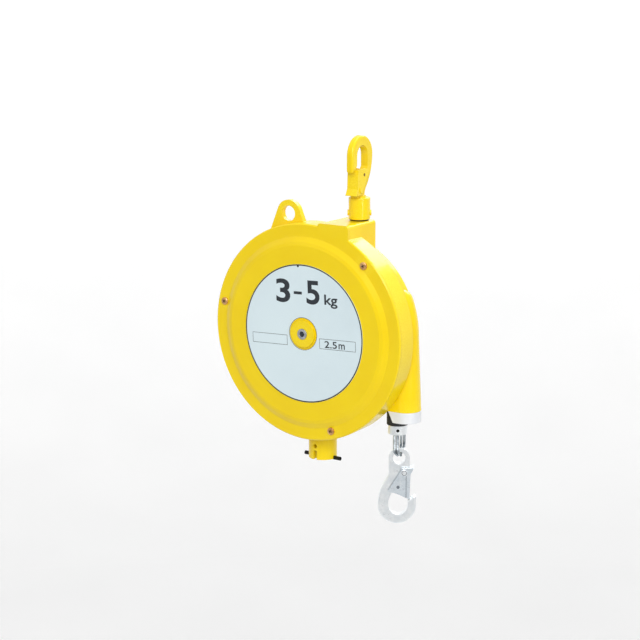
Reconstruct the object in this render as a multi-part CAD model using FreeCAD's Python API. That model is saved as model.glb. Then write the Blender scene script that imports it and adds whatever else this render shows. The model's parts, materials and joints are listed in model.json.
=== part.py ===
import FreeCAD, Part
import math
import os

V = FreeCAD.Vector
X, Y, Z = V(1, 0, 0), V(0, 1, 0), V(0, 0, 1)

# Spring balancer for light tools, in millimetres.
# Sizes are worked out about the drum axis (Y, front of the case towards -Y, Z up)
# and the finished pieces are then moved so the origin is the suspension hook's saddle.

# Cuts run this far past the faces they open
OVER = 1.0

# Front cover and its face plate
COVER_R = 100.0
FLANGE_T = 3.0
FLANGE_W = 11.5
DOME_FOOT_R = COVER_R - FLANGE_W
DOME_LEAN = 6.5
DOME_CREST_R = DOME_FOOT_R - DOME_LEAN
DOME_H = 3.4
DOME_SKIN = 2.8
COVER_BEVEL = 1.0
PLATE_MARGIN = 18.4
PLATE_R = DOME_CREST_R - PLATE_MARGIN
PLATE_T = 0.5
HUB_R = 12.6
PLATE_HOLE_GAP = 2.1
PLATE_HOLE_R = HUB_R + PLATE_HOLE_GAP
HUB_RISE = 1.3
SCREW_INSET = 7.9
SCREW_CIRCLE_R = COVER_R - SCREW_INSET
SCREW_FIRST_DEG = 47.7
SCREW_COUNT = 3
SCREW_R = 2.0
SCREW_HEAD_R = 3.5
SCREW_HEAD_H = 2.2
SCREW_LEN = 12.0
HEAD_STEPS = 4

# Case casting
WALL = 3.4
RIM_DEPTH = 22.2
RIM_STEP = 5.0
SPRING_BAY_IN = 5.6
SPRING_BAY_R = COVER_R - SPRING_BAY_IN
SPRING_BAY_SHORT = 1.6
DRUM_BAY_IN = 9.2
DRUM_BAY_R = SPRING_BAY_R - DRUM_BAY_IN
DRUM_BAY_SLOPE = 3.4
BACK_GAP = 1.59
BACK_ROUND = 7.0
SCREW_LUG_R = 5.4
REAR_CAP_R = 17.0
REAR_CAP_H = 2.6
RIB_COUNT = 6
RIB_T = 3.0
RIB_H = 2.0
RIB_MARGIN = 15.2
RIB_OUT_R = DRUM_BAY_R - RIB_MARGIN

# Suspension block and swivel
HOOK_X = 34.4
HOOK_Y = 36.0
BLOCK_LEFT = 13.0
BLOCK_RIGHT = 45.2
BLOCK_RISE = 1.8
BLOCK_TOP = COVER_R + BLOCK_RISE
BLOCK_BACK = 48.5
BLOCK_ROUND = 3.0
STEM_R = 6.0
STEM_RUN = 0.06
COLLAR_R = 9.8
COLLAR_H = 19.6
COLLAR_GAP = 1.2
COLLAR_PIN_R = 1.9
COLLAR_PIN_UP = 5.6
COLLAR_PIN_HEAD_R = 2.7
COLLAR_PIN_HEAD_H = 1.0
COLLAR_PIN_TURN = 33.0
NUT_R = 9.4
NUT_H = 5.0
THRUST_T = 2.0
POCKET_ROOF = 12.3
POCKET_CEILING = BLOCK_TOP - POCKET_ROOF
POCKET_R = 10.6

# Safety lug
LUG_X = -24.0
LUG_RISE = 6.4
LUG_Z = COVER_R + LUG_RISE
LUG_FRONT = 8.5
LUG_T = 5.2
LUG_R = 12.4
LUG_HOLE_R = 7.0
LUG_FLARE_DEG = 22.0

# Cable column, nozzle and stop
CABLE_R = 1.25
CABLE_IN = 8.7
CABLE_X = DRUM_BAY_R - CABLE_IN
COLUMN_R = 13.8
COLUMN_TOP_R = 11.0
COLUMN_SIDE = 8.8
COLUMN_X = CABLE_X + COLUMN_SIDE
COLUMN_FLAT = 27.3
COLUMN_IN = COLUMN_X - COLUMN_FLAT
COLUMN_BOTTOM = -67.0
COLUMN_ARC_DEG = 22.0
CHANNEL_W = 12.6
CHANNEL_BACK = 16.0
NOZZLE_H = 10.2
NOZZLE_CEILING = 3.2
NOZZLE_CUT_OUT = 1.9
NOZZLE_CUT_X = CABLE_X - NOZZLE_CUT_OUT
NOZZLE_CUT_LEAN_DEG = 26.0
SPIGOT_R = 5.9
SPIGOT_H = 9.0
GAP = 0.3
BUFFER_R = 9.9
BUFFER_H = 11.0
STOP_R = 8.9
STOP_H = 9.0
STOP_BEVEL = 0.5
GRUB_R = 1.5
FERRULE_R = 4.6
FERRULE_H = 6.4

# Snap hooks
HOOK_T = 7.0
BOWL_OUT_R = 17.6
BOWL_IN_R = 8.9
BOWL_SHIFT = 1.0
EYE_R = 9.6
EYE_HOLE_R = 5.8
EYE_SIDE = 1.7
EYE_TO_BOWL = 45.0
LOWER_WAIST_Z = 28.0
LOWER_BILL = 5.0
UPPER_BILL = 10.5
BILL_SLOPE_DEG = 40.0
BILL_ROUND = 1.9
HOOK_ROUND = 2.0
WAIST_ROUND = 10.0
PIVOT_SIDE = 6.3
LOWER_PIVOT_DOWN = 13.4
UPPER_PIVOT_DOWN = 7.0
PIVOT_BOSS_R = 4.4
LATCH_T = 0.9
LATCH_PLAY = 0.5
LATCH_SIDE = 1.2
LATCH_W = 20.0
LATCH_REST = 1.6
LATCH_LEAN = 0.8
LATCH_HEM_Z = 13.8
LATCH_HEM_FALL = 1.9
LATCH_HEM_RUN = 8.0
LATCH_TAB = 3.0
RIVET_R = 1.7
RIVET_HEAD_R = 2.7
RIVET_HEAD_H = 0.8
LATCH_COIL_R = 2.7
LATCH_WIRE_R = 0.35
LATCH_COILS = 2.5
LATCH_POCKET_R = 3.6
UPPER_STEM_TO_BOWL = 38.0
UPPER_SHOULDER = 4.5
UPPER_WAIST_Z = 32.5
UPPER_HOOK_TURN = 1.0
LOWER_HOOK_TURN = 33.0
SWING_GAP = 8.0
LOOP_R = 5.0
LOOP_SPREAD = 3.2
LOOP_PITCH = 3.0
LOOP_DROP = 3.2
LOOP_SIDES = 8
LOOP_STEPS = 12

# Cable drum and mainspring
DRUM_CLEAR = 2.4
DRUM_GAP = 6.0
DRUM_R = SPRING_BAY_R - WALL - DRUM_GAP
DRUM_WALL = 3.0
BAND_LEAD = 2.0
CABLE_PITCH = 2.9
CABLE_TURNS = 5.4
CABLE_SEAT = 0.5
CABLE_STEPS = 30
BAND_GROWTH = 0.25
COIL_STEPS = 16
COIL_SIDES = 6
ANCHOR_DEPTH = 3.0
REAR_FLANGE_T = 1.8
REAR_FLANGE_LIP = 1.6
WEB_T = 3.0
DRUM_HUB_WALL = 5.35
LOCK_NOTCHES = 6
LOCK_NOTCH_W = 10.0
LOCK_NOTCH_D = 3.6
DRUM_COVER_T = 1.8
SMALL_SCREW_R = 1.2
SMALL_HEAD_R = 2.0
SMALL_HEAD_H = 1.0
SMALL_SCREW_LEN = 5.0
SMALL_SCREW_COUNT = 6
SPRING_T = 1.2
SPRING_TURNS = 7
SPRING_STEPS = 30
SPRING_SIDE = 1.0
ANCHOR_R = 1.5

# Main shaft, ratchet
SHAFT_R = 8.0
SHAFT_FRONT_R = 4.9
SHAFT_REAR_R = 6.0
SHAFT_PROUD = 0.7
HEX = 6
HEX_AF = 5.0
HEX_DEPTH = 7.0
RUN = 0.05
BUSH_WALL = 2.6
ARBOR_WALL = 6.0
RATCHET_TEETH = 12
RATCHET_R = 24.0
TOOTH_H = 3.4
RATCHET_ROOT = RATCHET_R - TOOTH_H
RATCHET_FRONT = 1.8
RATCHET_T = 4.4
PAWL_PIN_R = 2.5
PAWL_OUT = 10.0
PAWL_DIST = RATCHET_R + PAWL_OUT
PAWL_DEG = 233.0
PAWL_LEAD = 53.0
PAWL_HUB_R = 5.4
PAWL_ARM_OUT = 4.2
PAWL_ARM_IN = 3.4
PAWL_NECK_OUT = 5.5
PAWL_NECK_R = RATCHET_R + PAWL_NECK_OUT
PAWL_NECK_DEG = 187.0
PAWL_THROAT_DEG = 190.0
PAWL_T = 2.6
PAWL_COILS = 1.75
PAWL_WIRE_R = 0.4
CIRCLIP_T = 1.0
CIRCLIP_W = 2.4

# Drum lock
LOCK_SETBACK = 2.7
LOCK_BOSS_R = 13.2
LOCK_REACH = 38.0
LOCK_BOTTOM = -DRUM_R - LOCK_REACH
LOCK_PLUNGER_R = 7.4
LOCK_TIP_R = 4.2
LOCK_TIP_H = 4.0
LOCK_TIP_GAP = 2.0
LOCK_HEAD_R = 6.4
LOCK_HEAD_H = 3.0
LOCK_LEDGE_UP = 17.5
LOCK_LEDGE_Z = LOCK_BOTTOM + LOCK_LEDGE_UP
LOCK_LEDGE_T = 2.6
LOCK_KNOB_UP = 9.7
LOCK_KNOB_TOP = LOCK_BOTTOM + LOCK_KNOB_UP
LOCK_WIRE_R = 0.5
LOCK_COILS = 4
LOCK_SLOT_W = 3.4
LOCK_SLOT_UP = 8.5
LOCK_SLOT_TOP = LOCK_BOTTOM + LOCK_SLOT_UP
LOCK_EYE_R = 1.9
LOCK_EYE_UP = 12.6
LOCK_EYE_Z = LOCK_BOTTOM + LOCK_EYE_UP
LOCK_PIN_R = 1.8
LOCK_PIN_BORE_R = 1.0
LOCK_PIN_HALF = 19.6
LOCK_PIN_UP = 0.7
LOCK_PIN_Z = LOCK_BOTTOM + LOCK_PIN_UP
LOCK_TAIL = 0.6
LOCK_NOTCH_UP = 0.2


def cyl(radius, start, end):
    """Round bar between two points."""
    along = end - start
    return Part.makeCylinder(radius, along.Length, start, along)


def tube(outer, inner, start, end):
    over = (end - start).normalize()
    return cyl(outer, start, end).cut(cyl(inner, start - over, end + over))


def box(x0, x1, y0, y1, z0, z1):
    return Part.makeBox(x1 - x0, y1 - y0, z1 - z0, V(x0, y0, z0))


def lathe(profile, angle=360):
    """Turn (radius, y) corners about the drum axis."""
    points = [V(radius, depth, 0) for radius, depth in profile]
    face = Part.Face(Part.makePolygon(points + points[:1]))
    return face.revolve(V(0, 0, 0), Y, angle)


def plate(corners, y0, y1):
    """Flat plate across the drum axis from (x, z) corners."""
    points = [V(x, y0, z) for x, z in corners]
    face = Part.Face(Part.makePolygon(points + points[:1]))
    return face.extrude(V(0, y1 - y0, 0))


def polar(radius, degrees):
    angle = math.radians(degrees)
    return radius * math.cos(angle), radius * math.sin(angle)


def turned(shape, centre, degrees, axis=Z):
    copy = shape.copy()
    copy.rotate(centre, axis, degrees)
    return copy


def joined(shapes):
    whole = shapes[0]
    for shape in shapes[1:]:
        whole = whole.fuse(shape)
    return whole.removeSplitter()


def skin(rings):
    """Closed solid through a row of rings of points, in flat triangles."""
    faces = []
    for first, second in zip(rings, rings[1:]):
        for side in range(len(first)):
            following = (side + 1) % len(first)
            a, b = first[side], first[following]
            c, d = second[side], second[following]
            faces.append(Part.Face(Part.makePolygon([a, b, c, a])))
            faces.append(Part.Face(Part.makePolygon([b, d, c, b])))
    for ring in (rings[0], rings[-1]):
        faces.append(Part.Face(Part.makePolygon(ring + ring[:1])))
    return Part.makeSolid(Part.makeShell(faces))


def screw_angles():
    return [SCREW_FIRST_DEG + 360 / SCREW_COUNT * i for i in range(SCREW_COUNT)]


# Depths shared by the pieces on the drum axis
PLATEAU_Y = -DOME_H
PLATE_FRONT = PLATEAU_Y - PLATE_T
HUB_FRONT = PLATE_FRONT - HUB_RISE
COVER_INNER = PLATEAU_Y + DOME_SKIN
SHAFT_FRONT = HUB_FRONT - SHAFT_PROUD
RATCHET_BACK = RATCHET_FRONT + RATCHET_T
DRUM_FRONT = RATCHET_BACK + DRUM_CLEAR
CABLE_Y = HOOK_Y
BAND_FRONT = CABLE_Y - BAND_LEAD
SPRING_BAY_BACK = BAND_FRONT - SPRING_BAY_SHORT
BAND_BACK = CABLE_Y + CABLE_PITCH * CABLE_TURNS + CABLE_R + GAP
REAR_FLANGE_BACK = BAND_BACK + REAR_FLANGE_T
DRUM_COVER_BACK = DRUM_FRONT + DRUM_COVER_T
SPRING_BACK = BAND_FRONT - WEB_T - LOCK_NOTCH_W / 2
LOCK_Y = SPRING_BACK + LOCK_SETBACK
CASE_INNER_BACK = REAR_FLANGE_BACK + BACK_GAP
BACK_Y = CASE_INNER_BACK + WALL
REAR_BUSH_FRONT = REAR_FLANGE_BACK - CIRCLIP_W * 2
BAND_R = CABLE_X - CABLE_R - CABLE_SEAT
HUB_OUT_R = SHAFT_R + RUN + BUSH_WALL + DRUM_HUB_WALL
ARBOR_R = SHAFT_R + ARBOR_WALL
SWIVEL_Z = BLOCK_TOP + COLLAR_GAP
COLLAR_TOP = SWIVEL_Z + COLLAR_H
NOZZLE_BOTTOM = COLUMN_BOTTOM - NOZZLE_H
BUFFER_TOP = COLUMN_BOTTOM - NOZZLE_CEILING - GAP
BUFFER_BOTTOM = BUFFER_TOP - BUFFER_H
STOP_TOP = BUFFER_BOTTOM
STOP_BOTTOM = STOP_TOP - STOP_H
EYE_Z = STOP_BOTTOM - SWING_GAP - EYE_R - LOOP_R
LOWER_PIVOT_Z = EYE_TO_BOWL - LOWER_PIVOT_DOWN
UPPER_PIVOT_Z = UPPER_STEM_TO_BOWL - UPPER_PIVOT_DOWN
SADDLE_Z = COLLAR_TOP + UPPER_STEM_TO_BOWL + BOWL_IN_R


def rim_section():
    """Inside of the case as (radius, y) corners, front edge first."""
    return [
        (COVER_R - WALL, FLANGE_T),
        (COVER_R - WALL, RIM_DEPTH - WALL),
        (SPRING_BAY_R - WALL + RUN, RIM_DEPTH),
        (SPRING_BAY_R - WALL, SPRING_BAY_BACK - GAP),
        (DRUM_BAY_R - WALL, SPRING_BAY_BACK + RUN),
        (DRUM_BAY_R - WALL, CASE_INNER_BACK - WALL / 2),
        (DRUM_BAY_R - WALL * 3 / 2, CASE_INNER_BACK),
    ]


def case_shell():
    outside = [
        (0, FLANGE_T),
        (COVER_R, FLANGE_T),
        (COVER_R, RIM_DEPTH),
        (COVER_R - RIM_STEP, RIM_DEPTH + RIM_STEP / 2),
        (SPRING_BAY_R, SPRING_BAY_BACK),
        (DRUM_BAY_R, SPRING_BAY_BACK + DRUM_BAY_SLOPE),
        (DRUM_BAY_R, BACK_Y - BACK_ROUND),
        (DRUM_BAY_R - BACK_ROUND, BACK_Y),
        (0, BACK_Y),
    ]
    return lathe(outside)


def case_hollow():
    inside = rim_section()
    return lathe([(0, FLANGE_T)] + inside + [(0, CASE_INNER_BACK)])


def stadium(low_r, high_r, z0, z1):
    """Upright column section: round outer end, straight sides towards the case."""
    if low_r == high_r:
        bar = cyl(low_r, V(COLUMN_X, CABLE_Y, z0), V(COLUMN_X, CABLE_Y, z1))
    else:
        bar = Part.makeCone(low_r, high_r, z1 - z0, V(COLUMN_X, CABLE_Y, z0))
    corners = [V(COLUMN_IN, CABLE_Y - low_r, z0), V(COLUMN_IN, CABLE_Y + low_r, z0),
               V(COLUMN_IN, CABLE_Y + high_r, z1), V(COLUMN_IN, CABLE_Y - high_r, z1)]
    side = Part.Face(Part.makePolygon(corners + corners[:1]))
    return bar.fuse(side.extrude(X * (COLUMN_X - COLUMN_IN)))


def column():
    """Cable column: tapered below the drum axis, bent round the drum above it."""
    straight = stadium(COLUMN_R, COLUMN_TOP_R, COLUMN_BOTTOM, 0)
    centre = V(COLUMN_X, CABLE_Y, 0)
    ring = Part.Face(Part.Wire(Part.makeCircle(COLUMN_TOP_R, centre, Z)))
    inner = COLUMN_X - COLUMN_TOP_R
    near, far = CABLE_Y - COLUMN_TOP_R, CABLE_Y + COLUMN_TOP_R
    corners = [V(inner, near, 0), V(COLUMN_X, near, 0), V(COLUMN_X, far, 0), V(inner, far, 0)]
    side = Part.Face(Part.makePolygon(corners + corners[:1]))
    bent = ring.revolve(V(0, 0, 0), Y, -COLUMN_ARC_DEG)
    flat = side.revolve(V(0, 0, 0), Y, -COLUMN_ARC_DEG)
    x, z = polar(COLUMN_X, COLUMN_ARC_DEG)
    cap = Part.makeSphere(COLUMN_TOP_R, V(x, CABLE_Y, z))
    return [straight, bent, flat, cap]


def channel():
    """Way for the cable from the drum down to the nozzle."""
    half = CHANNEL_W / 2
    way = box(CABLE_X - half, CABLE_X + half, CABLE_Y - half, CABLE_Y + CHANNEL_BACK - half,
              COLUMN_BOTTOM + SPIGOT_H, 0)
    socket = cyl(SPIGOT_R + RUN, V(CABLE_X, CABLE_Y, COLUMN_BOTTOM - OVER),
                 V(CABLE_X, CABLE_Y, COLUMN_BOTTOM + SPIGOT_H + OVER))
    return way.fuse(socket)


def block():
    low = DRUM_BAY_R / 2
    body = box(BLOCK_LEFT, BLOCK_RIGHT, FLANGE_T, BLOCK_BACK, low, BLOCK_TOP)
    edges = [e for e in body.Edges if e.BoundBox.ZMax > BLOCK_TOP - RUN
             and e.BoundBox.YMax > FLANGE_T + RUN]
    edges += [e for e in body.Edges if e.BoundBox.ZLength > BLOCK_ROUND
              and e.BoundBox.YMin > FLANGE_T + RUN]
    return body.makeFillet(BLOCK_ROUND, edges)


def lug():
    """Safety lug: round head over a foot that flares into the rim."""
    flare = math.radians(LUG_FLARE_DEG)
    dx, dz = LUG_R * math.cos(flare), LUG_R * math.sin(flare)
    foot = COVER_R - WALL * 4
    reach = dx + (LUG_Z + dz - foot) * math.tan(flare)
    web = plate([(LUG_X - dx, LUG_Z + dz), (LUG_X + dx, LUG_Z + dz),
                 (LUG_X + reach, foot), (LUG_X - reach, foot)], LUG_FRONT, LUG_FRONT + LUG_T)
    head = cyl(LUG_R, V(LUG_X, LUG_FRONT, LUG_Z), V(LUG_X, LUG_FRONT + LUG_T, LUG_Z))
    return web.fuse(head)


def lug_hole():
    return cyl(LUG_HOLE_R, V(LUG_X, 0, LUG_Z), V(LUG_X, LUG_FRONT + LUG_T * 2, LUG_Z))


def lock_boss():
    top = V(0, LOCK_Y, -DRUM_BAY_R)
    return cyl(LOCK_BOSS_R, V(0, LOCK_Y, LOCK_BOTTOM), top)


def lock_cuts():
    """Knob bore, ledge hole, spring chamber, front slot, rest notches and eye hole."""
    low = LOCK_BOTTOM - OVER
    bore = lock_part(LOCK_PLUNGER_R + GAP, low, LOCK_LEDGE_Z - LOCK_LEDGE_T)
    guide = lock_part(LOCK_TIP_R + RUN, low, -DRUM_BAY_R)
    chamber = lock_part(LOCK_HEAD_R + GAP, LOCK_LEDGE_Z, WALL * 2 - DRUM_BAY_R)
    half = LOCK_SLOT_W / 2
    reach = LOCK_BOSS_R + OVER
    slot = box(-half, half, LOCK_Y - reach, LOCK_Y + reach, low, LOCK_SLOT_TOP)
    notch_top = LOCK_PIN_Z + LOCK_PIN_R + LOCK_NOTCH_UP
    side = LOCK_PIN_R + GAP
    notch = box(-reach, reach, LOCK_Y - side, LOCK_Y + side, low, notch_top)
    eye = cyl(LOCK_EYE_R, V(0, LOCK_Y - reach, LOCK_EYE_Z), V(0, LOCK_Y, LOCK_EYE_Z))
    return [bore, guide, chamber, slot, notch, eye]


def lock_part(radius, z0, z1):
    return cyl(radius, V(0, LOCK_Y, z0), V(0, LOCK_Y, z1))


def screw_lugs():
    """Inner bosses that take the cover screws."""
    lugs = []
    for angle in screw_angles():
        x, z = polar(SCREW_CIRCLE_R, angle)
        lugs.append(cyl(SCREW_LUG_R, V(x, FLANGE_T, z), V(x, RIM_DEPTH - WALL / 2, z)))
    return lugs


def screw_holes(depth):
    holes = []
    for angle in screw_angles():
        x, z = polar(SCREW_CIRCLE_R, angle)
        holes.append(cyl(SCREW_R + RUN, V(x, -OVER, z), V(x, depth, z)))
    return holes


def back_ribs():
    """Low radial ribs and the round bearing cap on the back."""
    ribs = [cyl(REAR_CAP_R, V(0, BACK_Y - OVER, 0), V(0, BACK_Y + REAR_CAP_H, 0))]
    for i in range(RIB_COUNT):
        rib = box(0, RIB_OUT_R, BACK_Y - OVER, BACK_Y + RIB_H, -RIB_T / 2, RIB_T / 2)
        ribs.append(turned(rib, V(0, 0, 0), 360 / RIB_COUNT * (i + 0.5), Y))
    return ribs


def rear_case():
    outer = joined([case_shell(), block(), lug(), lock_boss()] + column() + back_ribs())
    hollow = case_hollow()
    for boss in screw_lugs():
        hollow = hollow.cut(boss)
    bearing = cyl(REAR_CAP_R - BUSH_WALL, V(0, REAR_BUSH_FRONT, 0), V(0, BACK_Y, 0))
    hollow = hollow.cut(bearing)
    shell = outer.cut(hollow)
    seat_end = BACK_Y - BUSH_WALL
    seat = cyl(SHAFT_REAR_R + RUN + BUSH_WALL, V(0, REAR_BUSH_FRONT - OVER, 0), V(0, seat_end, 0))
    stem = cyl(STEM_R + STEM_RUN, V(HOOK_X, HOOK_Y, 0), V(HOOK_X, HOOK_Y, BLOCK_TOP + OVER))
    pocket = cyl(POCKET_R, V(HOOK_X, HOOK_Y, DRUM_BAY_R / 2), V(HOOK_X, HOOK_Y, POCKET_CEILING))
    for part in [seat, stem, pocket, lug_hole(), channel()] + lock_cuts():
        shell = shell.cut(part)
    for hole in screw_holes(RIM_DEPTH - WALL):
        shell = shell.cut(hole)
    return shell


def front_cover():
    """Domed cover with a flat plateau, a hub for the shaft and a screw flange."""
    lean = DOME_FOOT_R - DOME_CREST_R
    outside = [
        (0, FLANGE_T),
        (COVER_R, FLANGE_T),
        (COVER_R, COVER_BEVEL),
        (COVER_R - COVER_BEVEL, 0),
        (DOME_FOOT_R, 0),
        (DOME_FOOT_R - lean / 4, PLATEAU_Y / 4),
        (DOME_CREST_R + lean / 4, PLATEAU_Y * 3 / 4),
        (DOME_CREST_R - lean / 4, PLATEAU_Y),
        (0, PLATEAU_Y),
    ]
    inside = [
        (0, FLANGE_T + OVER),
        (DOME_FOOT_R - DOME_SKIN, FLANGE_T + OVER),
        (DOME_FOOT_R - DOME_SKIN, FLANGE_T - COVER_BEVEL),
        (DOME_CREST_R - DOME_SKIN, COVER_INNER),
        (0, COVER_INNER),
    ]
    hub = cyl(HUB_R, V(0, HUB_FRONT, 0), V(0, RATCHET_FRONT - GAP, 0))
    ear = block_front()
    cover = joined([lathe(outside).cut(lathe(inside)), hub, ear])
    bore = cyl(SHAFT_FRONT_R + RUN, V(0, HUB_FRONT - OVER, 0), V(0, RATCHET_FRONT, 0))
    seat = cyl(SHAFT_FRONT_R + RUN + BUSH_WALL, V(0, PLATEAU_Y, 0), V(0, RATCHET_FRONT, 0))
    x, z = polar(PAWL_DIST, PAWL_DEG)
    pin_seat = cyl(PAWL_HUB_R, V(x, PLATEAU_Y / 2, z), V(x, RATCHET_FRONT, z))
    pin_hole = cyl(PAWL_PIN_R, V(x, COVER_INNER, z), V(x, RATCHET_BACK, z))
    cover = cover.fuse(pin_seat).cut(bore).cut(seat).cut(pin_hole)
    for hole in screw_holes(FLANGE_T + OVER):
        cover = cover.cut(hole)
    return cover.removeSplitter()


def block_front():
    """Part of the cover that closes the front of the suspension block."""
    x0, x1 = BLOCK_LEFT, BLOCK_RIGHT
    ear = box(x0, x1, 0, FLANGE_T, DOME_FOOT_R, BLOCK_TOP)
    upright = [e for e in ear.Edges if e.BoundBox.YLength > FLANGE_T / 2
               and e.BoundBox.ZMin > BLOCK_TOP - RUN]
    return ear.makeFillet(BLOCK_ROUND, upright)


def face_plate():
    sheet = cyl(PLATE_R, V(0, PLATE_FRONT, 0), V(0, PLATEAU_Y, 0))
    return sheet.cut(cyl(PLATE_HOLE_R, V(0, PLATE_FRONT - OVER, 0), V(0, 0, 0)))


def pan_screw(base, shank_r, head_r, head_h, length):
    """Screw along +Y with a rounded pan head standing in front of its seat."""
    profile = []
    for i in range(HEAD_STEPS + 1):
        radius, rise = polar(1, 90 - 90 * i / HEAD_STEPS)
        profile.append((head_r * radius, -head_h * (1 + rise) / 2))
    profile += [(head_r, 0), (shank_r, 0), (shank_r, length), (0, length)]
    screw = lathe(profile)
    screw.translate(base)
    return screw


def cover_screws():
    shapes = []
    for angle in screw_angles():
        x, z = polar(SCREW_CIRCLE_R, angle)
        shapes.append(pan_screw(V(x, 0, z), SCREW_R, SCREW_HEAD_R, SCREW_HEAD_H, SCREW_LEN))
    return Part.makeCompound(shapes)


def cable_nozzle():
    """Nylon outlet: column outline below, slanted open end, spigot with the cable hole."""
    body = stadium(COLUMN_R, COLUMN_R, NOZZLE_BOTTOM, COLUMN_BOTTOM)
    recess = cyl(BUFFER_R + GAP, V(CABLE_X, CABLE_Y, NOZZLE_BOTTOM - OVER),
                 V(CABLE_X, CABLE_Y, COLUMN_BOTTOM - NOZZLE_CEILING))
    lean = NOZZLE_H * math.tan(math.radians(NOZZLE_CUT_LEAN_DEG))
    far = CABLE_Y + COLUMN_R + OVER
    waste = plate([(COLUMN_IN - OVER, COLUMN_BOTTOM + OVER), (NOZZLE_CUT_X, COLUMN_BOTTOM + OVER),
                   (NOZZLE_CUT_X, COLUMN_BOTTOM), (NOZZLE_CUT_X + lean, NOZZLE_BOTTOM),
                   (NOZZLE_CUT_X + lean, NOZZLE_BOTTOM - OVER), (COLUMN_IN - OVER, NOZZLE_BOTTOM - OVER)],
                  CABLE_Y - COLUMN_R - OVER, far)
    spigot = cyl(SPIGOT_R, V(CABLE_X, CABLE_Y, COLUMN_BOTTOM - NOZZLE_CEILING),
                 V(CABLE_X, CABLE_Y, COLUMN_BOTTOM + SPIGOT_H - OVER))
    hole = cyl(CABLE_R + GAP, V(CABLE_X, CABLE_Y, NOZZLE_BOTTOM), V(CABLE_X, CABLE_Y, 0))
    return body.cut(waste).fuse(spigot).cut(recess).cut(hole).removeSplitter()


def cable_part(z0, z1, radius):
    return cyl(radius, V(CABLE_X, CABLE_Y, z0), V(CABLE_X, CABLE_Y, z1))


def rubber_buffer():
    body = cable_part(BUFFER_BOTTOM, BUFFER_TOP, BUFFER_R)
    return body.cut(cable_part(BUFFER_BOTTOM - OVER, BUFFER_TOP + OVER, CABLE_R + RUN))


def stop_collar():
    body = cable_part(STOP_BOTTOM, STOP_TOP, STOP_R)
    body = body.makeChamfer(STOP_BEVEL, [e for e in body.Edges if e.BoundBox.XLength > STOP_R
                                         and e.BoundBox.ZLength < RUN])
    body = body.cut(cable_part(STOP_BOTTOM - OVER, STOP_TOP + OVER, CABLE_R + RUN))
    body = body.cut(cable_part(STOP_BOTTOM - OVER, STOP_BOTTOM + FERRULE_H, FERRULE_R))
    return body.cut(grub(STOP_R + OVER, GRUB_R))


def grub(reach, radius):
    """Short set screw pointing at the cable from the side that faces the hook's front."""
    axis = V(CABLE_X, CABLE_Y, (STOP_TOP + STOP_BOTTOM) / 2)
    side = turned(cyl(radius, axis - Y * reach, axis - Y * (FERRULE_R + GAP)), axis, LOWER_HOOK_TURN)
    return side


def cable_run():
    return cable_part(STOP_BOTTOM + FERRULE_H, 0, CABLE_R)


def cable_ferrule():
    return cable_part(STOP_BOTTOM, STOP_BOTTOM + FERRULE_H, FERRULE_R - RUN)


def collar_screw():
    return grub(STOP_R - GAP, GRUB_R)


def strand(points, radius):
    """Faceted wire through points that run mainly across X, mitred at each of them."""
    rings = []
    for i, point in enumerate(points):
        before, after = points[max(i - 1, 0)], points[min(i + 1, len(points) - 1)]
        along = (after - before).normalize()
        across = along.cross(X).normalize()
        beside = across.cross(along)
        ring = []
        for side in range(LOOP_SIDES):
            out, aside = polar(radius, 360 * side / LOOP_SIDES)
            ring.append(point + beside * aside + across * out)
        rings.append(ring)
    return skin(rings)


def cable_loop():
    """Cable end bent twice through the hook eye and back up into the ferrule."""
    centre = EYE_Z + LOOP_R + LOOP_DROP
    top = STOP_BOTTOM - GAP * 2
    half_top = CABLE_R + GAP
    reach = LOOP_R + CABLE_R
    points = [V(LOOP_SPREAD, half_top, top - centre)]
    for i in range(LOOP_STEPS + 1):
        y, z = polar(reach, -180 * i / LOOP_STEPS)
        points.append(V(LOOP_SPREAD * (y / reach) ** 3, y, z))
    points.append(V(-LOOP_SPREAD, -half_top, top - centre))
    loops = []
    for side in (-1, 1):
        loop = strand(points, CABLE_R)
        loop.translate(V(CABLE_X + EYE_SIDE + side * LOOP_PITCH / 2, CABLE_Y, centre))
        loops.append(turned(loop, V(CABLE_X, CABLE_Y, 0), LOWER_HOOK_TURN))
    return Part.makeCompound(loops)


def flank(waist_x, waist_z):
    """Outer edge of a hook's back: leaves the bowl upright and bends in to the shank."""
    lean = waist_x + BOWL_OUT_R
    radius = (lean ** 2 + waist_z ** 2) / (lean * 2)
    middle = math.asin(waist_z / radius) / 2
    bend = V(radius - BOWL_OUT_R - radius * math.cos(middle), 0, radius * math.sin(middle))
    return Part.Arc(V(-BOWL_OUT_R, 0, 0), bend, V(waist_x, 0, waist_z)).toShape()


def hook_web(bill, shank, pivot_z, back_x, waist_z, front_x):
    """Flat between the bowl and the end of the shank, without the mouth."""
    wide = BOWL_OUT_R
    corners = [V(back_x, 0, waist_z), V(back_x, 0, shank), V(front_x, 0, shank),
               V(front_x, 0, pivot_z), V(wide, 0, bill + wide), V(wide, 0, 0), V(-wide, 0, 0)]
    edges = [flank(back_x, waist_z)] + Part.makePolygon(corners).Edges
    face = Part.Face(Part.Wire(edges))
    face.translate(-Y * HOOK_T / 2)
    return face.extrude(Y * HOOK_T)


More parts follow.
